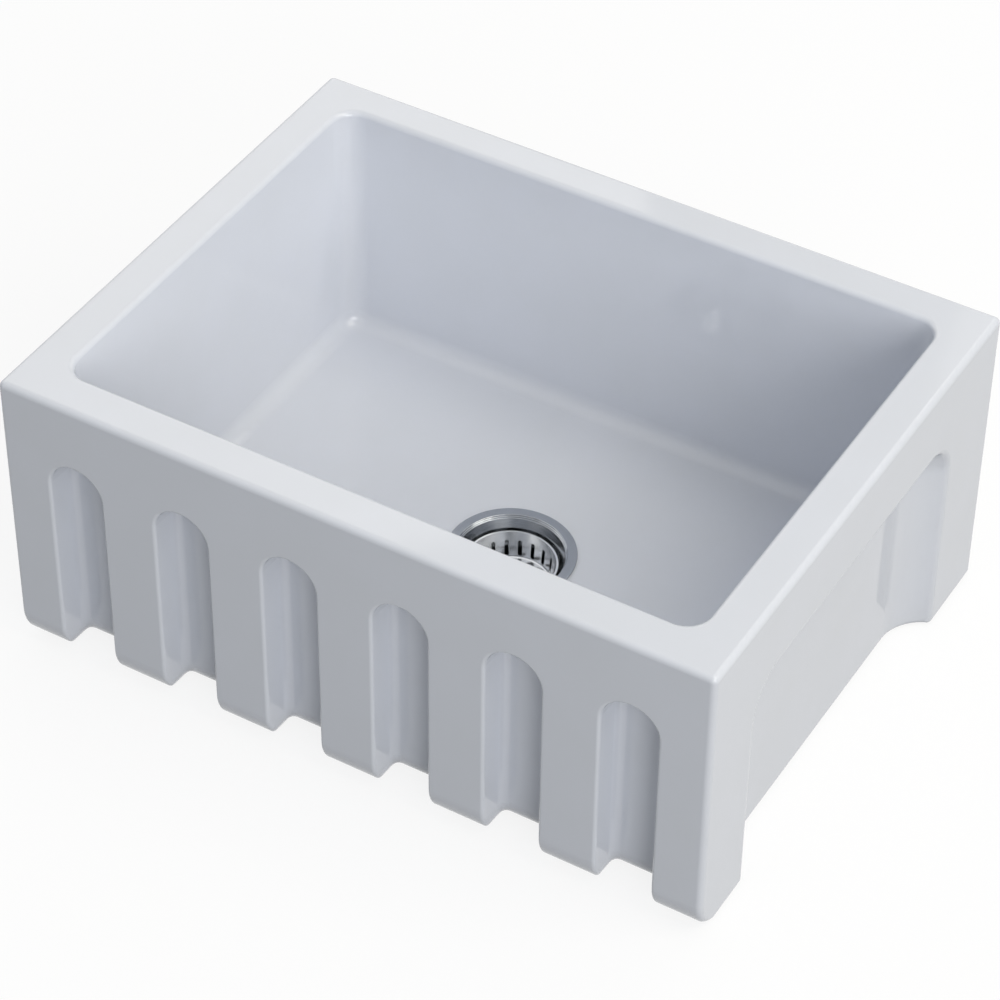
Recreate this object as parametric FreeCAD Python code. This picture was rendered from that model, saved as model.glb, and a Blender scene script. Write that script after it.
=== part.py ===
import FreeCAD, Part
import math
import os

# Farmhouse apron front sink in glazed fireclay, with its basket strainer.
# Millimetres. X runs left to right, Y front to back, Z up.
# The origin is the middle of the footprint, on the plane that the sink's base rests on.

V = FreeCAD.Vector
UP = V(0, 0, 1)
ORIGIN = V(0, 0, 0)
TOUCH = 1e-3            # two points this close are the same point
REACH = 60.0            # how far a cutting tool runs past the face that it cuts
RUN_ON = 4.0            # how far a flute's spread feet run on below the base
SHARP_DEGREES = 5.0     # faces that meet at more than this leave a sharp edge

# Fireclay basin: the outer block
sink_width = 610.0      # 24 in
sink_depth = 463.0      # 18 1/4 in
foot_rail_height = 22.7 # base to the underside of the floor
arris_radius = 5.0      # glazed outer edges
foot_radius = 34.0      # the apron's lower edge rolls under
foot_angle = 20.0       # degrees left between a roll and the base where they meet

# Fireclay basin: the bowl
rim_front = 36.9
rim_back = 33.5
rim_side = 34.8
rim_lip_radius = 4.5
bowl_depth = 222.0      # rim to the floor at the drain
bowl_corner_radius = 20.0
bowl_cove_radius = 14.0
bowl_front_draft = 2.0  # degrees: the apron wall thickens downwards, behind the flutes
floor_fall = 0.35       # degrees towards the drain

# Fireclay basin: the flutes in the apron
flute_count = 6
flute_width = 47.2
flute_depth = 26.0
flute_top_gap = 58.5    # rim to the crown of the arch
flute_draft = 3.0       # degrees, wider at the mouth
flute_cove_radius = 7.0
flute_foot_radius = 28.0    # the flute's floor rolls under, as the apron does
leg_foot_radius = 18.0      # so do the legs' sides in the flutes
flute_lip_radius = 3.0
corner_leg_width = 42.0

# Fireclay basin: the shallow recess in each side
recess_depth = 24.5
recess_top_gap = 65.0
recess_corner_radius = 38.0
recess_cove_radius = 40.0
recess_lip_radius = 6.0
front_leg_depth = 67.0
rear_leg_depth = 75.0

# Fireclay basin: the pocket under the floor, with the rails that the sink stands on
floor_thickness = 22.0
front_rail_depth = 75.0
rear_rail_depth = 45.0
side_rail_width = 50.0
pocket_corner_radius = 25.0
pocket_cove_radius = 8.0
pocket_lip_radius = 4.0

# Drain hole: its centre lies behind the middle of the sink
drain_back = 12.4
drain_flat_width = 11.5     # level ring of floor round the hole
drain_lip_radius = 1.0

# Strainer body: pressed stainless cup with a flange, standing in the hole
cup_bore_radius = 41.0
body_sheet = 1.2
thread_height = 1.2         # rolled thread, drawn plain at its full diameter
neck_flare = 2.8            # the neck above the thread is wider than the thread
thread_run_up = 5.5         # thread above the underside of the floor
hole_clearance = 0.3
flange_overlap = 6.8
flange_flat_width = 7.9
flange_edge_radius = 0.5
neck_steps = 2              # small bright steps between the flange and the cup
neck_step_width = 0.75
neck_step_height = 1.3
neck_step_radius = 0.35
neck_height = 9.2
neck_shoulder_height = 1.2
thread_spare = 1.7          # cup wall left below the locknut
seat_fall = 6.0             # height of the conical seat
seat_foot_radius = 28.0
body_hole_radius = 22.7

# Strainer body: what seals and clamps it
flange_seal_height = 1.1
flange_seal_inset = 0.8
floor_gasket_height = 3.0
floor_gasket_width = 10.6
friction_ring_height = 1.5
friction_ring_width = 10.1
locknut_height = 11.0
locknut_wall = 8.6
locknut_chamfer = 1.2
lug_count = 6
lug_reach = 5.5
lug_width = 9.0
lug_height = 7.0
thread_clearance = 0.05
ring_clearance = 0.5

# Threaded outlet under the cup
outlet_bore_radius = 19.6
outlet_thread_radius = 23.85    # 1 1/2 in straight pipe thread, 47.7 mm
outlet_thread_length = 20.3
collar_radius = 27.5
collar_height = 3.0
outlet_chamfer = 1.0

# Crossbar, let into the top of the outlet
crossbar_height = 2.0
crossbar_clearance = 0.05
crossbar_arm_width = 4.0
crossbar_arms = 4
crossbar_hub_radius = 8.0

# Basket
basket_sheet = 0.8
basket_side_gap = 2.7       # rim to the cup's wall
basket_rim_drop = 11.0      # flange top to basket rim
basket_rim_width = 1.0
basket_rim_height = 1.6
basket_taper = 2.4          # the wall leans in by this much over its height
basket_foot_radius = 2.8
slot_count = 20
slot_width = 3.4
slot_top_drop = 8.0         # basket rim to the top of the slots
slot_height = 15.5
outer_holes = 20
outer_holes_radius = 29.0   # the two rings of holes in the basket's floor
inner_holes = 12
inner_holes_radius = 20.5
floor_hole_radius = 2.3

# Stopper stack under the basket, on one stud
stud_radius = 2.5
stud_clearance = 0.05
retainer_radius = 14.0
retainer_height = 2.0
seal_height = 3.7
seal_inset = 10.0           # cup wall to the seal's disc
seal_skirt_flare = 2.0
seal_skirt_thickness = 0.8
seat_clearance = 0.3
washer_radius = 24.0
washer_height = 1.2
nut_across_flats = 10.0
nut_height = 3.6
crossbar_gap = 1.3          # retaining nut to crossbar, plug pushed home

# Catch below the stud, held by the crossbar's hole
catch_radius = 3.6
catch_length = 9.6
catch_bore_depth = 6.0
catch_clearance = 0.3
catch_nose_radius = 2.0

# Lift knob above the basket's floor
knob_radius = 8.0
knob_neck_radius = 4.6
knob_head_height = 6.0
knob_top_drop = 13.0        # flange top to knob top
knob_edge_radius = 1.5

# Levels and radii that follow from the sizes above. Sink levels count from the base,
# strainer levels from the flange's top, downwards negative.
pocket_level = foot_rail_height
floor_level = foot_rail_height + floor_thickness
sink_height = floor_level + bowl_depth      # 266.7 mm, 10 1/2 in
thread_radius = cup_bore_radius + body_sheet + thread_height
neck_radius = thread_radius + neck_flare
drain_hole_radius = neck_radius + hole_clearance
flange_radius = drain_hole_radius + flange_overlap
flange_rise = flange_seal_height + body_sheet
flange_level = floor_level + flange_rise
gasket_top = -flange_rise - floor_thickness
ring_top = gasket_top - floor_gasket_height
nut_top = ring_top - friction_ring_height
nut_foot = nut_top - locknut_height
seat_top = nut_foot - thread_spare
cup_floor = seat_top - seat_fall
cup_foot = cup_floor - body_sheet
crossbar_hole_radius = catch_radius + catch_clearance
crossbar_radius = body_hole_radius - crossbar_clearance
clamp_radius = thread_radius + ring_clearance
nut_bottom = cup_foot + crossbar_gap
washer_bottom = nut_bottom + nut_height
seal_bottom = washer_bottom + washer_height
seal_top = seal_bottom + seal_height
basket_bottom = seal_top + retainer_height
stud_bore_radius = stud_radius + stud_clearance
basket_rim_radius = cup_bore_radius - basket_side_gap


def line(start, end):
    return Part.LineSegment(start, end).toShape()


def arc(start, middle, end):
    return Part.Arc(start, middle, end).toShape()


def along(edge):
    """Five points on an edge, its ends among them."""
    first, last = edge.ParameterRange
    return [edge.valueAt(first + (last - first) * step / 4) for step in range(5)]


def edges_where(shape, test):
    """The edges on which every sample point passes the test."""
    return [edge for edge in shape.Edges if all(test(point) for point in along(edge))]


def is_sharp(shape, edge):
    faces = shape.ancestorsOfType(edge, Part.Face)
    if len(faces) != 2:
        return False
    point = along(edge)[2]
    normals = [face.normalAt(*face.Surface.parameter(point)) for face in faces]
    return math.degrees(normals[0].getAngle(normals[1])) > SHARP_DEGREES


def round_sharp_edges(shape, radius):
    """Rounds every sharp edge: each cut is rounded before the next one is made."""
    return shape.makeFillet(radius, [edge for edge in shape.Edges if is_sharp(shape, edge)])


def extrude_across(face, width):
    """Extrudes a face that stands in the YZ plane, to both sides of it."""
    face.translate(V(-width / 2, 0, 0))
    return face.extrude(V(width, 0, 0))


def mirror_left(shape):
    return shape.mirror(ORIGIN, V(1, 0, 0))


def foot_roll(plane_point, inward, radius, depth):
    """The edges of a plain face's foot, from the face down: a roll that meets the base at
    foot_angle, then a straight run on below the base, to the given depth."""
    angle = math.radians(foot_angle)
    half_way = (angle + math.pi / 2) / 2
    centre = plane_point + inward * radius + UP * radius * math.cos(angle)
    start = centre - inward * radius
    middle = centre - inward * radius * math.sin(half_way) - UP * radius * math.cos(half_way)
    end = centre - inward * radius * math.sin(angle) - UP * radius * math.cos(angle)
    edges = [arc(start, middle, end)]
    if depth:
        run_on = end + inward * depth / math.tan(angle) - UP * depth
        return edges + [line(end, run_on)], start, run_on
    return edges, start, end


def foot_profile(front, back, top, radius, depth):
    """YZ outline with a plain front that rolls under at the foot."""
    roll, start, end = foot_roll(V(0, front, 0), V(0, 1, 0), radius, depth)
    corners = [end, V(0, back, -depth), V(0, back, top), V(0, front, top), start]
    return Part.Face(Part.Wire(roll + [line(a, b) for a, b in zip(corners, corners[1:])]))


def outer_block():
    """The plain block, with its outer edges rounded: all but the two ends of the foot's roll."""
    profile = foot_profile(-sink_depth / 2, sink_depth / 2, sink_height, foot_radius, 0.0)
    return round_sharp_edges(extrude_across(profile, sink_width), arris_radius)


def arch(offset, half_width, crown):
    """A closed arch in the plane Y = offset, its feet spread where the legs' sides roll under."""
    springings, feet, edges = [], [], []
    for side in (-1, 1):
        wall = V(side * half_width, offset, 0)
        roll, roll_start, foot = foot_roll(wall, V(side, 0, 0), leg_foot_radius, RUN_ON)
        springing = wall + UP * (crown - half_width)
        edges += roll + [line(roll_start, springing)]
        springings.append(springing)
        feet.append(foot)
    edges += [arc(springings[0], V(0, offset, crown), springings[1]), line(*feet)]
    return Part.Wire(Part.sortEdges(edges)[0])


def flute_tool():
    """The space of one flute: an arch that narrows inwards, stopped by a floor that follows
    the apron's own profile, with a cove between floor and walls."""
    slope = math.tan(math.radians(flute_draft))
    front = -sink_depth / 2
    crown = sink_height - flute_top_gap
    sections = []
    for distance in (-REACH / 4, flute_depth + 2 * REACH):
        narrowing = distance * slope
        sections.append(arch(front + distance, flute_width / 2 - narrowing, crown - narrowing))
    channel = Part.makeLoft(sections, True, True)
    floor = front + flute_depth
    profile = foot_profile(floor, sink_depth, sink_height, flute_foot_radius, REACH)
    behind = extrude_across(profile, 3 * flute_width)
    channel = channel.cut(behind)
    roll_end = floor + flute_foot_radius - TOUCH

    def on_floor_corner(edge):
        ends = [vertex.Point for vertex in edge.Vertexes]
        lies_in_floor = all(behind.distToShape(Part.Vertex(p))[0] < TOUCH for p in along(edge))
        crosses = abs(ends[0].x - ends[1].x) > flute_width / 2 and abs(ends[0].z - ends[1].z) < TOUCH
        is_crown = edge.BoundBox.ZMax > crown - flute_width
        return lies_in_floor and edge.BoundBox.YMin < roll_end and (is_crown or not crosses)

    corners = [edge for edge in channel.Edges if on_floor_corner(edge)]
    return channel.makeFillet(flute_cove_radius, corners)


def flute_tools():
    pitch = (sink_width - 2 * corner_leg_width - flute_width) / (flute_count - 1)
    tools = []
    for index in range(flute_count):
        tool = flute_tool()
        tool.translate(V((index - (flute_count - 1) / 2) * pitch, 0, 0))
        tools.append(tool)
    return tools


def recess_tool():
    """The space of the right-hand recess: a flat pillow whose rounded edges leave the coves."""
    shift = recess_cove_radius - math.sqrt(recess_cove_radius**2 - (recess_cove_radius - recess_depth)**2)
    inner = sink_width / 2 - recess_depth
    front = -sink_depth / 2 + front_leg_depth - shift
    back = sink_depth / 2 - rear_leg_depth + shift
    top = sink_height - recess_top_gap + shift
    corner = V(inner, front, -2 * REACH)
    pillow = Part.makeBox(recess_cove_radius + REACH, back - front, top + 2 * REACH, corner)

    def on_end(point):
        return min(point.y - front, back - point.y) < TOUCH

    def on_inner(point):
        return abs(point.x - inner) < TOUCH

    upper_corners = edges_where(pillow, lambda p: abs(p.z - top) < TOUCH and on_end(p))
    pillow = pillow.makeFillet(recess_corner_radius + shift, upper_corners)
    cove = edges_where(pillow, lambda p: on_inner(p) and p.z > TOUCH - 2 * REACH)
    cove += edges_where(pillow, lambda p: on_inner(p) and on_end(p))
    return pillow.makeFillet(recess_cove_radius, cove)


def drain_floor():
    """The bowl's floor: a level ring round the drain in a very flat cone."""
    flat = drain_hole_radius + drain_flat_width
    reach = sink_width + sink_depth
    rise = (reach - flat) * math.tan(math.radians(floor_fall))
    outline = [
        V(0, 0, floor_level - 2 * REACH),
        V(0, 0, floor_level),
        V(flat, 0, floor_level),
        V(reach, 0, floor_level + rise),
        V(reach, 0, floor_level - 2 * REACH),
    ]
    floor = Part.Face(Part.makePolygon(outline + outline[:1])).revolve(ORIGIN, UP, 360)
    floor.translate(V(0, drain_back, 0))
    return floor


def bowl_tool():
    """The space of the bowl: upright walls, a drafted front one, and a coved floor."""
    slope = math.tan(math.radians(bowl_front_draft))
    front = -sink_depth / 2 + rim_front
    back = sink_depth / 2 - rim_back
    top = sink_height + REACH / 3
    bottom = floor_level - REACH / 3
    outline = [
        V(0, front - (top - sink_height) * slope, top),
        V(0, back, top),
        V(0, back, bottom),
        V(0, front + (sink_height - bottom) * slope, bottom),
    ]
    width = sink_width - 2 * rim_side
    space = extrude_across(Part.Face(Part.makePolygon(outline + outline[:1])), width)
    corners = [edge for edge in edges_where(space, lambda p: abs(p.x) > width / 2 - TOUCH)
               if abs(edge.Vertexes[0].Z - edge.Vertexes[1].Z) > bowl_depth]
    space = space.makeFillet(bowl_corner_radius, corners).cut(drain_floor())
    floor_top = floor_level + sink_width * math.tan(math.radians(floor_fall))

    def meets_wall(point):
        from_drain = math.hypot(point.x, point.y - drain_back)
        return point.z < floor_top and from_drain > drain_hole_radius + drain_flat_width + TOUCH

    cove = [edge for edge in edges_where(space, meets_wall) if is_sharp(space, edge)]
    return space.makeFillet(bowl_cove_radius, cove)


def pocket_tool():
    """The space under the floor, inside the rails that the sink stands on."""
    corner = V(-sink_width / 2 + side_rail_width, -sink_depth / 2 + front_rail_depth, -REACH)
    length = sink_width - 2 * side_rail_width
    breadth = sink_depth - front_rail_depth - rear_rail_depth
    space = Part.makeBox(length, breadth, pocket_level + REACH, corner)
    uprights = [edge for edge in space.Edges if abs(edge.Vertexes[0].Z - edge.Vertexes[1].Z) > TOUCH]
    space = space.makeFillet(pocket_corner_radius, uprights)
    ceiling = edges_where(space, lambda p: abs(p.z - pocket_level) < TOUCH)
    return space.makeFillet(pocket_cove_radius, ceiling)


def drain_hole_tool():
    return Part.makeCylinder(drain_hole_radius, floor_level + 2 * REACH, V(0, drain_back, -REACH))


def make_basin():
    basin = outer_block().cut(flute_tools())
    basin = round_sharp_edges(basin, flute_lip_radius)
    recess = recess_tool()
    basin = basin.cut([recess, mirror_left(recess)])
    basin = round_sharp_edges(basin, recess_lip_radius)
    basin = round_sharp_edges(basin.cut(bowl_tool()), rim_lip_radius)
    basin = round_sharp_edges(basin.cut(pocket_tool()), pocket_lip_radius)
    return round_sharp_edges(basin.cut(drain_hole_tool()), drain_lip_radius)


def turned(outline):
    """A solid turned about the strainer's axis from (radius, level) points."""
    points = [V(radius, 0, level) for radius, level in outline]
    return Part.Face(Part.makePolygon(points + points[:1])).revolve(ORIGIN, UP, 360)


def ring(inner, outer, top, bottom):
    return turned([(inner, top), (outer, top), (outer, bottom), (inner, bottom)])


def circle_edges(shape, radius, level):
    def on_circle(point):
        return abs(math.hypot(point.x, point.y) - radius) < TOUCH and abs(point.z - level) < TOUCH
    return edges_where(shape, on_circle)


def spread(tool, count, first=0.0):
    """Copies of a tool at even angles about the strainer's axis."""
    copies = []
    for index in range(count):
        copy = tool.copy()
        copy.rotate(ORIGIN, UP, first + 360.0 * index / count)
        copies.append(copy)
    return copies


def make_flange_seal():
    return ring(drain_hole_radius, flange_radius - flange_seal_inset, -body_sheet, -flange_rise)


def make_strainer_body():
    """Pressed cup: flange, small steps, a neck that leans in to the bore, and a conical seat."""
    shoulder = neck_height + neck_shoulder_height
    slope = (cup_bore_radius - seat_foot_radius) / seat_fall
    outside = cup_bore_radius + body_sheet
    seat_offset = body_sheet * (math.hypot(1, slope) - 1) / slope
    steps = []
    for index in range(neck_steps):
        radius = flange_radius - flange_flat_width - index * neck_step_width
        steps += [(radius, -index * neck_step_height), (radius, -(index + 1) * neck_step_height)]
    body = turned([
        (flange_radius, 0.0),
        *steps,
        (steps[-1][0] - neck_step_width, steps[-1][1]),
        (cup_bore_radius, -shoulder),
        (cup_bore_radius, seat_top),
        (seat_foot_radius, cup_floor),
        (body_hole_radius, cup_floor),
        (body_hole_radius, cup_foot),
        (seat_foot_radius + seat_offset, cup_foot),
        (outside, seat_top - seat_offset / slope),
        (outside, nut_foot),
        (thread_radius, nut_foot),
        (thread_radius, gasket_top + thread_run_up),
        (outside, gasket_top + thread_run_up + thread_height),
        (outside, -shoulder - body_sheet),
        (neck_radius, -neck_height),
        (neck_radius, -body_sheet),
        (flange_radius, -body_sheet),
    ])
    corners = [edge for step in steps[::2] for edge in circle_edges(body, *step)]
    corners += circle_edges(body, steps[-1][0] - neck_step_width, steps[-1][1])
    body = body.makeFillet(neck_step_radius, corners)
    return body.makeFillet(flange_edge_radius, circle_edges(body, flange_radius, 0.0))


def make_floor_gasket():
    return ring(clamp_radius, clamp_radius + floor_gasket_width, gasket_top, ring_top)


def make_friction_ring():
    return ring(clamp_radius, clamp_radius + friction_ring_width, ring_top, nut_top)


def make_locknut():
    bore = thread_radius + thread_clearance
    outside = bore + locknut_wall
    nut = ring(bore, outside, nut_top, nut_foot)
    lug = Part.makeBox(
        locknut_wall / 2 + lug_reach, lug_width, lug_height,
        V(outside - locknut_wall / 2, -lug_width / 2, nut_foot))
    nut = nut.fuse(spread(lug, lug_count)).removeSplitter()
    return nut.makeChamfer(locknut_chamfer, circle_edges(nut, bore, nut_foot))


def make_outlet():
    top = cup_foot
    collar_foot = top - collar_height
    end = collar_foot - outlet_thread_length
    outlet = turned([
        (body_hole_radius, top),
        (collar_radius, top),
        (collar_radius, collar_foot),
        (outlet_thread_radius, collar_foot),
        (outlet_thread_radius, end),
        (outlet_bore_radius, end),
        (outlet_bore_radius, top - crossbar_height),
        (body_hole_radius, top - crossbar_height),
    ])
    return outlet.makeChamfer(outlet_chamfer, circle_edges(outlet, outlet_thread_radius, end))


def make_crossbar():
    foot = cup_foot - crossbar_height
    arm = Part.makeBox(2 * crossbar_radius, crossbar_arm_width, crossbar_height,
                       V(0, -crossbar_arm_width / 2, foot))
    rim = Part.makeCylinder(crossbar_radius, crossbar_height, V(0, 0, foot))
    hub = Part.makeCylinder(crossbar_hub_radius, crossbar_height, V(0, 0, foot))
    bars = hub.fuse([copy.common(rim) for copy in spread(arm, crossbar_arms)]).removeSplitter()
    below = V(0, 0, foot - crossbar_height)
    return bars.cut(Part.makeCylinder(crossbar_hole_radius, 3 * crossbar_height, below))


def slot_tool():
    """A round-ended upright slot, cut outwards through the basket's wall."""
    radius = slot_width / 2
    top = -basket_rim_drop - slot_top_drop - radius
    bottom = top - slot_height + slot_width
    start = basket_rim_radius / 2
    outline = Part.Wire([
        line(V(start, -radius, top), V(start, -radius, bottom)),
        arc(V(start, -radius, bottom), V(start, 0, bottom - radius), V(start, radius, bottom)),
        line(V(start, radius, bottom), V(start, radius, top)),
        arc(V(start, radius, top), V(start, 0, top + radius), V(start, -radius, top)),
    ])
    return Part.Face(outline).extrude(V(basket_rim_radius, 0, 0))


def make_basket():
    rim_top = -basket_rim_drop
    rim_foot = rim_top - basket_rim_height
    wall = basket_rim_radius - basket_rim_width
    foot = wall - basket_taper
    inside = basket_bottom + basket_sheet
    basket = turned([
        (stud_bore_radius, basket_bottom),
        (foot, basket_bottom),
        (wall, rim_foot),
        (basket_rim_radius, rim_foot),
        (basket_rim_radius, rim_top),
        (wall - basket_sheet, rim_top),
        (foot - basket_sheet, inside),
        (stud_bore_radius, inside),
    ])
    basket = basket.makeFillet(basket_foot_radius, circle_edges(basket, foot, basket_bottom))
    inner_foot = circle_edges(basket, foot - basket_sheet, inside)
    basket = basket.makeFillet(basket_foot_radius - basket_sheet, inner_foot)
    basket = basket.makeFillet(basket_rim_width / 3, circle_edges(basket, basket_rim_radius, rim_top))
    cuts = spread(slot_tool(), slot_count)
    for ring_radius, hole_count in ((outer_holes_radius, outer_holes), (inner_holes_radius, inner_holes)):
        hole = Part.makeCylinder(floor_hole_radius, 4 * basket_sheet,
                                 V(ring_radius, 0, basket_bottom - basket_sheet))
        cuts += spread(hole, hole_count)
    return basket.cut(cuts)


def make_seal_retainer():
    return ring(stud_bore_radius, retainer_radius, basket_bottom, seal_top)


def make_stopper_seal():
    """Rubber disc with a skirt that comes down on the conical seat."""
    disc = cup_bore_radius - seal_inset
    lip = disc + seal_skirt_flare
    seat_slope = seat_fall / (cup_bore_radius - seat_foot_radius)
    lip_level = seat_top - (cup_bore_radius - lip + seal_skirt_thickness) * seat_slope + seat_clearance
    lip_level += seal_skirt_thickness * seat_slope
    return turned([
        (stud_bore_radius, seal_top),
        (disc, seal_top),
        (lip, lip_level),
        (lip - seal_skirt_thickness, lip_level),
        (disc - seal_skirt_thickness, seal_bottom),
        (stud_bore_radius, seal_bottom),
    ])


def make_seal_washer():
    return ring(stud_bore_radius, washer_radius, seal_bottom, washer_bottom)


def make_retaining_nut():
    corner = nut_across_flats / 2 / math.cos(math.pi / 6)
    corners = []
    for index in range(6):
        angle = math.radians(60 * index)
        corners.append(V(corner * math.cos(angle), corner * math.sin(angle), nut_bottom))
    block = Part.Face(Part.makePolygon(corners + corners[:1])).extrude(V(0, 0, nut_height))
    return block.cut(Part.makeCylinder(stud_bore_radius, 3 * nut_height, V(0, 0, nut_bottom - nut_height)))


def make_catch():
    """Nylon catch on the stud's end, a loose fit in the crossbar's hole."""
    foot = nut_bottom - catch_length
    body = Part.makeCylinder(catch_radius, catch_length, V(0, 0, foot))
    body = body.makeFillet(catch_nose_radius, circle_edges(body, catch_radius, foot))
    bore = Part.makeCylinder(stud_bore_radius, catch_bore_depth, V(0, 0, nut_bottom - catch_bore_depth))
    return body.cut(bore)


def make_lift_knob():
    top = -knob_top_drop
    head_foot = top - knob_head_height
    foot = basket_bottom + basket_sheet
    bore_top = top - knob_head_height / 3
    knob = turned([
        (0, top),
        (knob_radius, top),
        (knob_radius, head_foot + knob_head_height / 3),
        (knob_neck_radius, head_foot),
        (knob_neck_radius, foot),
        (stud_bore_radius, foot),
        (stud_bore_radius, bore_top),
        (0, bore_top),
    ])
    return knob.makeFillet(knob_edge_radius, circle_edges(knob, knob_radius, top))


def make_stud():
    top = -knob_top_drop - knob_head_height / 3
    bottom = nut_bottom - catch_bore_depth
    return Part.makeCylinder(stud_radius, top - bottom, V(0, 0, bottom))


def export(name, shape):
    shape.exportStep(f"parts/{name}.step")
    volume = shape.Volume / 1000
    print(f"{name:16s} solids {len(shape.Solids)} volume {volume:10.2f} cm3 valid {shape.isValid()}")


def at_drain(shape):
    shape.translate(V(0, drain_back, flange_level))
    return shape


os.makedirs("parts", exist_ok=True)
export("basin", make_basin())
strainer_pieces = {
    "flange_seal": make_flange_seal,
    "strainer_body": make_strainer_body,
    "floor_gasket": make_floor_gasket,
    "friction_ring": make_friction_ring,
    "locknut": make_locknut,
    "outlet": make_outlet,
    "crossbar": make_crossbar,
    "basket": make_basket,
    "lift_knob": make_lift_knob,
    "stud": make_stud,
    "seal_retainer": make_seal_retainer,
    "stopper_seal": make_stopper_seal,
    "seal_washer": make_seal_washer,
    "retaining_nut": make_retaining_nut,
    "catch": make_catch,
}
for piece_name, make_piece in strainer_pieces.items():
    export(piece_name, at_drain(make_piece()))
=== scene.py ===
# Farmhouse apron front sink in white glazed fireclay, with a stainless basket strainer.
import math

import bpy
import numpy as np
from mathutils import Matrix, Vector


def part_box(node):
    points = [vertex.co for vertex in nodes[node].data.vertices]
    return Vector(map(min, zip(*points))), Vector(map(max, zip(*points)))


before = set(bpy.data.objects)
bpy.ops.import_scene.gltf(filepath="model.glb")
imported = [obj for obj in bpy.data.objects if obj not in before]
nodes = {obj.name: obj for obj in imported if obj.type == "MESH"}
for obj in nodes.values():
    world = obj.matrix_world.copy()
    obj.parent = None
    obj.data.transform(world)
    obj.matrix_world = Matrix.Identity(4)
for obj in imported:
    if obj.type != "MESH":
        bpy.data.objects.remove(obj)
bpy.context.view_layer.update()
print("frame loaded:", len(nodes), "nodes")

mm = 0.001                        # in metres
colourMix = {"first": 6, "second": 7, "result": 2}  # colour sockets of a Mix node


def linearColour(hexText):
    # sRGB hex to the linear RGBA that the shader sockets want
    channels = [int(hexText[i:i + 2], 16) / 255 for i in (1, 3, 5)]
    return [c / 12.92 if c <= 0.04045 else ((c + 0.055) / 1.055) ** 2.4 for c in channels] + [1.0]


def addNode(tree, kind, inputs=(), **settings):
    # one node: inputs gives each input's value, or the output socket that feeds it, and
    # settings are the node's own properties
    node = tree.nodes.new(kind)
    for key, value in settings.items():
        setattr(node, key, value)
    for key, value in dict(inputs).items():
        if isinstance(value, bpy.types.NodeSocket):
            tree.links.new(value, node.inputs[key])
        else:
            node.inputs[key].default_value = value
    return node


def newMaterial(name):
    material = bpy.data.materials.new(name)
    material.use_nodes = True
    material.node_tree.nodes.clear()
    return material, material.node_tree


# The glaze covers all that shows. The base that the sink stands on and the pocket under the
# floor stay bare fireclay.
glaze = {
    "colour": "#E2E5ED",          # cool white, where the glaze lies thick
    "thinColour": "#DDE0E6",      # the clay's warmth comes through a thinner coat
    "roughness": 0.05,
    "ior": 1.52,                  # tin and zircon glazes
    "cloudShare": 0.3,
    "waveHeightMm": 0.010,
    "rippleHeightMm": 0.0006,
}
bareClay = {
    "colour": "#CDBFA6",          # fired buff body
    "grogColour": "#A8977C",      # ground fired clay in it
    "roughness": 0.9,
    "grainHeightMm": 0.06,
    "wipedHeightMm": 1.5,         # the base is wiped clean of glaze up to here
    "edgeMm": 1.2,                # how far the glaze's edge wanders
    "softMm": 0.2,                # width of the step from glaze to clay, to each side
    "pocketHeightMm": 24.0,       # over the pocket's ceiling and under the bowl
    "insetMm": {"side": 44.0, "front": 69.0, "back": 39.0},  # pocket, from the sink's faces
}
patterns = {
    "mottle": {"mm": 60.0, "detail": 2.0},  # slow change of the coat's thickness
    "cloud": {"mm": 5.0, "detail": 3.0},    # fine clouding of the opaque glaze
    "wave": {"mm": 16.0, "detail": 1.0},    # orange peel of a sprayed and fired glaze
    "ripple": {"mm": 2.5, "detail": 1.0},
    "grog": {"mm": 1.4, "detail": 4.0},     # speckle of the bare clay
    "wander": {"mm": 12.0, "detail": 3.0},  # along the edge of the glaze
}


def bareClayMask(tree, place, wander):
    # 1 where the clay is bare: the lowest band of the base, and the box of the pocket
    low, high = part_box("basin")
    inset = {side: size * mm for side, size in bareClay["insetMm"].items()}
    soft = bareClay["softMm"] * mm
    front = low.y + inset["front"]
    back = high.y - inset["back"]

    # distances from the pocket's middle, the same to the left and right, and front and back
    fromMiddle = addNode(tree, "ShaderNodeVectorMath", {0: place, 1: (0, (front + back) / 2, 0)},
                         operation="SUBTRACT")
    folded = addNode(tree, "ShaderNodeVectorMath", {0: fromMiddle.outputs["Vector"]},
                     operation="ABSOLUTE")
    axes = addNode(tree, "ShaderNodeSeparateXYZ", {"Vector": folded.outputs["Vector"]}).outputs
    drift = addNode(tree, "ShaderNodeMath", {0: wander, 1: bareClay["edgeMm"] * mm},
                    operation="MULTIPLY")
    height = addNode(tree, "ShaderNodeMath", {0: axes["Z"], 1: drift.outputs["Value"]},
                     operation="SUBTRACT")

    # each limit is 1 below its value and 0 above it, with a soft step between
    limits = {
        "base": (height.outputs["Value"], (bareClay["wipedHeightMm"] - bareClay["edgeMm"] / 2) * mm),
        "side": (axes["X"], high.x - inset["side"]),
        "length": (axes["Y"], (back - front) / 2),
        "ceiling": (axes["Z"], bareClay["pocketHeightMm"] * mm),
    }
    inside = {}
    for key, (measure, limit) in limits.items():
        step = addNode(tree, "ShaderNodeMapRange", {"Value": measure, "From Min": limit - soft,
                                                    "From Max": limit + soft, "To Min": 1.0,
                                                    "To Max": 0.0})
        inside[key] = step.outputs["Result"]
    pocket = inside["side"]
    for key in ("length", "ceiling"):
        pocket = addNode(tree, "ShaderNodeMath", {0: pocket, 1: inside[key]},
                         operation="MULTIPLY").outputs["Value"]
    bare = addNode(tree, "ShaderNodeMath", {0: inside["base"], 1: pocket},
                   operation="ADD", use_clamp=True)
    return bare.outputs["Value"]


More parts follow.
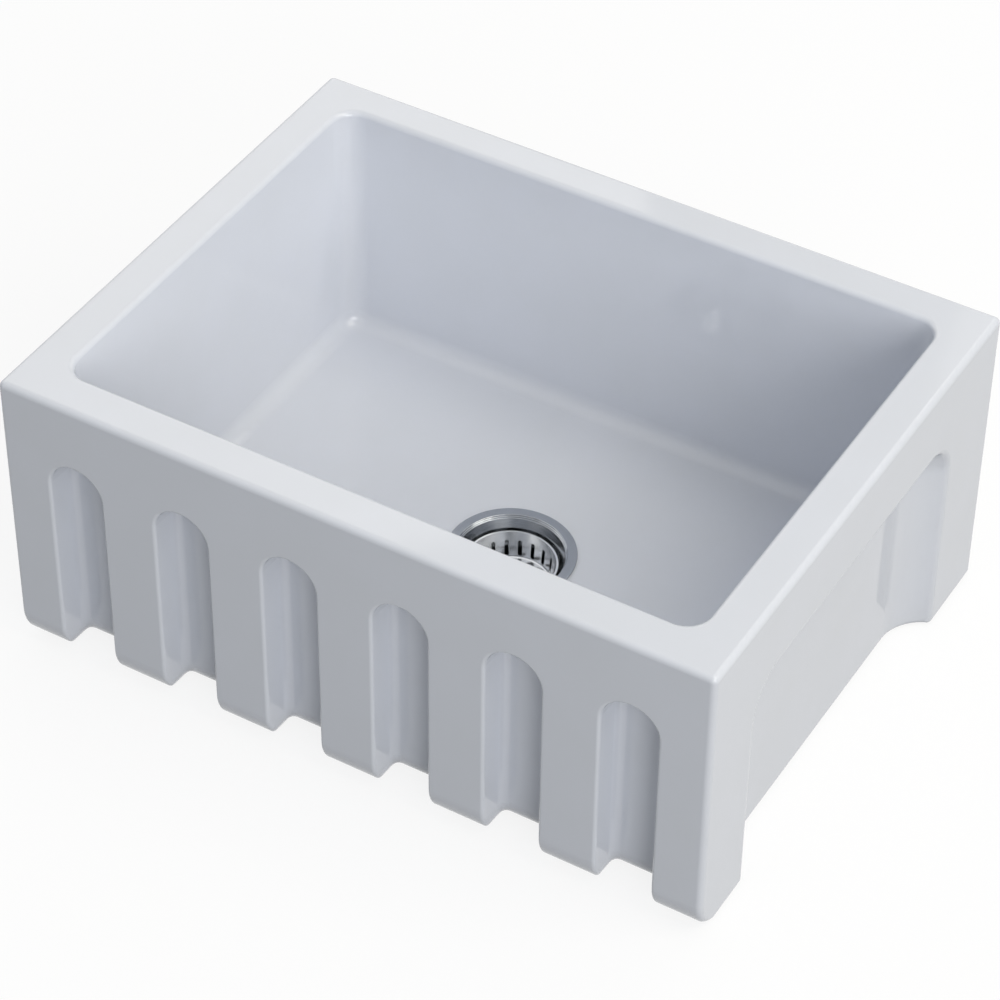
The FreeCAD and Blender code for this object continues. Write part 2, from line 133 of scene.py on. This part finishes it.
def glazedFireclay():
    # Opaque white glaze, sprayed and fired on fireclay: a glassy skin with a sharp but very
    # slightly wavy reflection, over a body colour that clouds a little. Bare clay is matt,
    # buff and speckled.
    material, tree = newMaterial("sprayed and fired white glaze")
    place = addNode(tree, "ShaderNodeTexCoord").outputs["Object"]
    noise = {}
    for key, pattern in patterns.items():
        grains = addNode(tree, "ShaderNodeTexNoise", {"Vector": place, "Detail": pattern["detail"],
                                                      "Scale": 1 / (pattern["mm"] * mm)})
        noise[key] = grains.outputs["Fac"]

    glazeColour, thinColour = linearColour(glaze["colour"]), linearColour(glaze["thinColour"])
    thick = addNode(tree, "ShaderNodeMix", {"Factor": noise["mottle"], colourMix["first"]: glazeColour,
                                            colourMix["second"]: thinColour}, data_type="RGBA")
    thickColour = thick.outputs[colourMix["result"]]
    clouded = addNode(tree, "ShaderNodeMix", {"Factor": noise["cloud"], colourMix["first"]: thickColour,
                                              colourMix["second"]: thinColour}, data_type="RGBA")
    skin = addNode(tree, "ShaderNodeMix",
                   {"Factor": glaze["cloudShare"], colourMix["first"]: thickColour,
                    colourMix["second"]: clouded.outputs[colourMix["result"]]}, data_type="RGBA")
    waves = addNode(tree, "ShaderNodeBump", {"Height": noise["wave"], "Strength": 1.0,
                                             "Distance": glaze["waveHeightMm"] * mm})
    ripples = addNode(tree, "ShaderNodeBump", {"Height": noise["ripple"], "Strength": 1.0,
                                               "Distance": glaze["rippleHeightMm"] * mm,
                                               "Normal": waves.outputs["Normal"]})
    glassy = addNode(tree, "ShaderNodeBsdfPrincipled",
                     {"Base Color": skin.outputs[colourMix["result"]],
                      "Normal": ripples.outputs["Normal"],
                      "Roughness": glaze["roughness"], "IOR": glaze["ior"]})

    clay = addNode(tree, "ShaderNodeMix",
                   {"Factor": noise["grog"], colourMix["first"]: linearColour(bareClay["colour"]),
                    colourMix["second"]: linearColour(bareClay["grogColour"])}, data_type="RGBA")
    grain = addNode(tree, "ShaderNodeBump", {"Height": noise["grog"], "Strength": 1.0,
                                             "Distance": bareClay["grainHeightMm"] * mm})
    matt = addNode(tree, "ShaderNodeBsdfPrincipled",
                   {"Base Color": clay.outputs[colourMix["result"]],
                    "Normal": grain.outputs["Normal"], "Roughness": bareClay["roughness"]})
    both = addNode(tree, "ShaderNodeMixShader", {"Fac": bareClayMask(tree, place, noise["wander"]),
                                                 1: glassy.outputs["BSDF"], 2: matt.outputs["BSDF"]})
    addNode(tree, "ShaderNodeOutputMaterial", {"Surface": both.outputs["Shader"]})
    return material


def drainAxis():
    low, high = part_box("strainer_body")
    return (low.x + high.x) / 2, (low.y + high.y) / 2


steel = {
    "cup": {"colour": "#B2B5B9", "roughness": 0.19, "ringMm": 0.9, "ringHeightMm": 0.003,
            "smearMm": 9.0, "flangeFromMm": 44.6, "flangeRoughness": 0.1},
    "basket": {"colour": "#DCDEE1", "roughness": 0.24, "ringMm": 1.3, "ringHeightMm": 0.002,
               "smearMm": 7.0},
    "turned": {"colour": "#C3C5C7", "roughness": 0.12, "ringMm": 0.6, "ringHeightMm": 0.002,
               "smearMm": 5.0},
    "stamped": {"colour": "#BFC0C1", "roughness": 0.27, "ringMm": 2.0, "ringHeightMm": 0.001,
                "smearMm": 6.0},
    "roughnessSpread": 0.2,       # share by which handling changes it, up and down
    "ringDetail": 2.0,
    "smearDetail": 3.0,
}


def spunSteel(name, kind):
    # Stainless steel pressed or turned about the drain's axis: fine rings round the axis
    # stretch each highlight across them. Where a piece has a flange, it is polished brighter
    # than the satin wall inside it.
    values = steel[kind]
    axisX, axisY = drainAxis()
    material, tree = newMaterial(name)
    place = addNode(tree, "ShaderNodeTexCoord").outputs["Object"]
    centred = addNode(tree, "ShaderNodeMapping", {"Vector": place, "Location": (-axisX, -axisY, 0),
                                                  "Scale": (1, 1, 0)})
    distance = addNode(tree, "ShaderNodeVectorMath", {"Vector": centred.outputs["Vector"]},
                       operation="LENGTH")
    radius = distance.outputs["Value"]
    rings = addNode(tree, "ShaderNodeTexNoise", {"W": radius, "Detail": steel["ringDetail"],
                                                 "Scale": 1 / (values["ringMm"] * mm)},
                    noise_dimensions="1D")
    bump = addNode(tree, "ShaderNodeBump", {"Height": rings.outputs["Fac"], "Strength": 1.0,
                                            "Distance": values["ringHeightMm"] * mm})
    smears = addNode(tree, "ShaderNodeTexNoise", {"Vector": place, "Detail": steel["smearDetail"],
                                                  "Scale": 1 / (values["smearMm"] * mm)})
    spread = values["roughness"] * steel["roughnessSpread"]
    handled = addNode(tree, "ShaderNodeMapRange", {"Value": smears.outputs["Fac"],
                                                   "To Min": values["roughness"] - spread,
                                                   "To Max": values["roughness"] + spread})
    roughness = handled.outputs["Result"]
    if "flangeFromMm" in values:
        onFlange = addNode(tree, "ShaderNodeMath", {0: radius, 1: values["flangeFromMm"] * mm},
                           operation="GREATER_THAN")
        polished = addNode(tree, "ShaderNodeMix", {"Factor": onFlange.outputs["Value"], "A": roughness,
                                                   "B": values["flangeRoughness"]})
        roughness = polished.outputs["Result"]
    shader = addNode(tree, "ShaderNodeBsdfPrincipled",
                     {"Base Color": linearColour(values["colour"]), "Normal": bump.outputs["Normal"],
                      "Roughness": roughness, "Metallic": 1.0})
    addNode(tree, "ShaderNodeOutputMaterial", {"Surface": shader.outputs["BSDF"]})
    return material


plain = {
    # tooled sealant: smooth, with a soft sheen
    "flange_seal": {"name": "white sealant", "colour": "#E8E8E4", "roughness": 0.35},
    # pressed rubber sheet: matt and nearly black
    "floor_gasket": {"name": "black rubber", "colour": "#1B1B1C", "roughness": 0.6},
    # punched from board: brown and dry
    "friction_ring": {"name": "vulcanised fibre", "colour": "#8F7350", "roughness": 0.75},
    # cast and left raw: grey metal with a dull gleam
    "locknut": {"name": "die-cast zinc", "colour": "#A9ABAD", "roughness": 0.38, "metallic": 1.0},
    # plated over machined brass: a warm, even shine
    "outlet": {"name": "nickel plated brass", "colour": "#C9C3AE", "roughness": 0.28, "metallic": 1.0},
    # moulded in a polished tool: dark, with a broad sheen
    "stopper_seal": {"name": "moulded stopper rubber", "colour": "#1E1E20", "roughness": 0.5},
    # moulded: milky and slightly waxy
    "catch": {"name": "natural nylon", "colour": "#DAD8CF", "roughness": 0.45},
}
castSkin = {"grainMm": 2.0, "grainHeightMm": 0.01, "detail": 3.0}


def plainMaterial(values):
    # a fine cast or moulded grain under one colour
    material, tree = newMaterial(values["name"])
    place = addNode(tree, "ShaderNodeTexCoord").outputs["Object"]
    grains = addNode(tree, "ShaderNodeTexNoise", {"Vector": place, "Detail": castSkin["detail"],
                                                  "Scale": 1 / (castSkin["grainMm"] * mm)})
    bump = addNode(tree, "ShaderNodeBump", {"Height": grains.outputs["Fac"], "Strength": 1.0,
                                            "Distance": castSkin["grainHeightMm"] * mm})
    shader = addNode(tree, "ShaderNodeBsdfPrincipled",
                     {"Base Color": linearColour(values["colour"]), "Normal": bump.outputs["Normal"],
                      "Roughness": values["roughness"], "Metallic": values.get("metallic", 0.0)})
    addNode(tree, "ShaderNodeOutputMaterial", {"Surface": shader.outputs["BSDF"]})
    return material


steelPieces = {
    "strainer_body": ("pressed stainless cup", "cup"),
    "crossbar": ("stamped stainless", "stamped"),
    "basket": ("satin stainless basket", "basket"),
    "lift_knob": ("turned stainless knob", "turned"),
    "stud": ("stainless stud", "turned"),
    "seal_retainer": ("stamped retainer", "stamped"),
    "seal_washer": ("stamped washer", "stamped"),
    "retaining_nut": ("stainless nut", "stamped"),
}
finishes = {"basin": glazedFireclay()}
for nodeName, (materialName, steelKind) in steelPieces.items():
    finishes[nodeName] = spunSteel(materialName, steelKind)
for nodeName, plainValues in plain.items():
    finishes[nodeName] = plainMaterial(plainValues)
for nodeName, finish in finishes.items():
    nodes[nodeName].data.materials.clear()
    nodes[nodeName].data.materials.append(finish)
print("finishes assigned:", len(finishes))


floor = {
    "reach": 6.0,                 # metres from the middle
    "level": -0.0004,             # just clear of the base, so that the two don't coincide
    "holeRadius": 0.075,          # the waste hangs through here
    "spokes": 128,
    "rings": 12,
    "colour": "#6E6E6E",
    "glow": 0.85,                 # what lifts the floor to white where it shows
}


def floorDisc():
    # a flat ring round the drain, x = cx + r cos(a), y = cy + r sin(a), with r growing from the
    # hole outwards in geometric steps
    centre = drainAxis()
    angles = np.linspace(0, 2 * math.pi, floor["spokes"], endpoint=False)
    radii = np.geomspace(floor["holeRadius"], floor["reach"], floor["rings"])
    spread, turn = np.meshgrid(radii, angles, indexing="ij")
    points = np.stack([centre[0] + spread * np.cos(turn), centre[1] + spread * np.sin(turn),
                       np.full_like(turn, floor["level"])], axis=-1).reshape(-1, 3)
    index = np.arange(points.shape[0]).reshape(spread.shape)
    nextOne = np.roll(index, -1, axis=1)
    quads = np.stack([index[:-1], index[1:], nextOne[1:], nextOne[:-1]], axis=-1).reshape(-1, 4)
    mesh = bpy.data.meshes.new("floor")
    mesh.from_pydata(points.tolist(), [], quads.tolist())
    disc = bpy.data.objects.new("floor", mesh)
    bpy.context.scene.collection.objects.link(disc)
    return disc


def seenDirectly(tree):
    # 1 for rays that show the surroundings: straight from the camera, mirrored or refracted
    path = addNode(tree, "ShaderNodeLightPath").outputs
    total = path["Is Camera Ray"]
    for ray in ("Is Glossy Ray", "Is Transmission Ray"):
        total = addNode(tree, "ShaderNodeMath", {0: total, 1: path[ray]},
                        operation="ADD", use_clamp=True).outputs["Value"]
    return total


def paleFloor():
    # matt white sweep: it shows white, with the sink's own shadow kept
    material, tree = newMaterial("matt white sweep")
    level = addNode(tree, "ShaderNodeMath", {0: seenDirectly(tree), 1: floor["glow"]},
                    operation="MULTIPLY")
    paint = addNode(tree, "ShaderNodeBsdfDiffuse", {"Color": linearColour(floor["colour"])})
    glow = addNode(tree, "ShaderNodeEmission", {"Strength": level.outputs["Value"]})
    both = addNode(tree, "ShaderNodeAddShader", {0: paint.outputs["BSDF"], 1: glow.outputs["Emission"]})
    addNode(tree, "ShaderNodeOutputMaterial", {"Surface": both.outputs["Shader"]})
    return material


ground = floorDisc()
ground.data.materials.append(paleFloor())
print("floor laid")


studio = {
    "worldColour": "#EEF5FD",     # what lights the sink
    "worldStrength": 0.34,
    "seenColour": "#FFFFFF",      # what shows behind it and in its reflections
    "seenStrength": 1.0,
    "softboxSize": 3.0,
    "aim": (0.0, 0.0, 0.15),
    "softboxes": {                # place in metres, watts, colour
        "left": ((-4.8, 0.2, 2.9), 33, "#FFFBF5"),
        "leftBack": ((-3.4, 3.4, 3.0), 31, "#FFFBF5"),
        "back": ((0.2, 4.8, 2.9), 17, "#FFFBF5"),
        "topBack": ((0.4, 2.7, 4.5), 23, "#FFFBF5"),
        "topRight": ((3.0, 0.2, 4.2), 93, "#FFF9EB"),
        "rightFront": ((3.9, -3.2, 2.3), 133, "#FFFFFF"),
    },
}


def softbox(name, place, watts, colour):
    data = bpy.data.lights.new(name, "AREA")
    data.shape = "SQUARE"
    data.size = studio["softboxSize"]
    data.energy = watts
    data.color = linearColour(colour)[:3]
    lamp = bpy.data.objects.new(name, data)
    bpy.context.scene.collection.objects.link(lamp)
    lamp.location = place
    lamp.rotation_mode = "QUATERNION"
    lamp.rotation_quaternion = (Vector(studio["aim"]) - Vector(place)).to_track_quat("-Z", "Y")


def whiteWorld():
    world = bpy.data.worlds.new("white sweep")
    bpy.context.scene.world = world
    world.use_nodes = True
    tree = world.node_tree
    tree.nodes.clear()
    light = addNode(tree, "ShaderNodeBackground", {"Color": linearColour(studio["worldColour"]),
                                                   "Strength": studio["worldStrength"]})
    white = addNode(tree, "ShaderNodeBackground", {"Color": linearColour(studio["seenColour"]),
                                                   "Strength": studio["seenStrength"]})
    seen = addNode(tree, "ShaderNodeMixShader", {"Fac": seenDirectly(tree),
                                                 1: light.outputs["Background"],
                                                 2: white.outputs["Background"]})
    addNode(tree, "ShaderNodeOutputWorld", {"Surface": seen.outputs["Shader"]})


whiteWorld()
for boxName, settings in studio["softboxes"].items():
    softbox(boxName, *settings)
print("light set:", len(studio["softboxes"]), "softboxes")


camera = {
    "azimuth": 30.27,             # degrees to the right of the apron
    "elevation": 41.983,
    "roll": 0.711,
    "place": (1.06853, -1.83673, 2.02507),
    "lens": 131.194,
    "sensor": 36.0,
}


def photographCamera():
    # it looks against the vector back, and rolls about it
    azimuth, elevation, roll = (math.radians(camera[k]) for k in ("azimuth", "elevation", "roll"))
    back = Vector((math.sin(azimuth) * math.cos(elevation), -math.cos(azimuth) * math.cos(elevation),
                   math.sin(elevation)))
    right = Vector((math.cos(azimuth), math.sin(azimuth), 0))
    up = back.cross(right)
    across = right * math.cos(roll) + up * math.sin(roll)
    upward = up * math.cos(roll) - right * math.sin(roll)
    data = bpy.data.cameras.new("photograph")
    data.sensor_width = camera["sensor"]
    data.lens = camera["lens"]
    view = bpy.data.objects.new("photograph", data)
    bpy.context.scene.collection.objects.link(view)
    turn = Matrix((across, upward, back)).transposed().to_4x4()
    view.matrix_world = Matrix.Translation(camera["place"]) @ turn
    bpy.context.scene.camera = view


photographCamera()
bpy.context.scene.view_settings.view_transform = "Standard"
print("camera set")
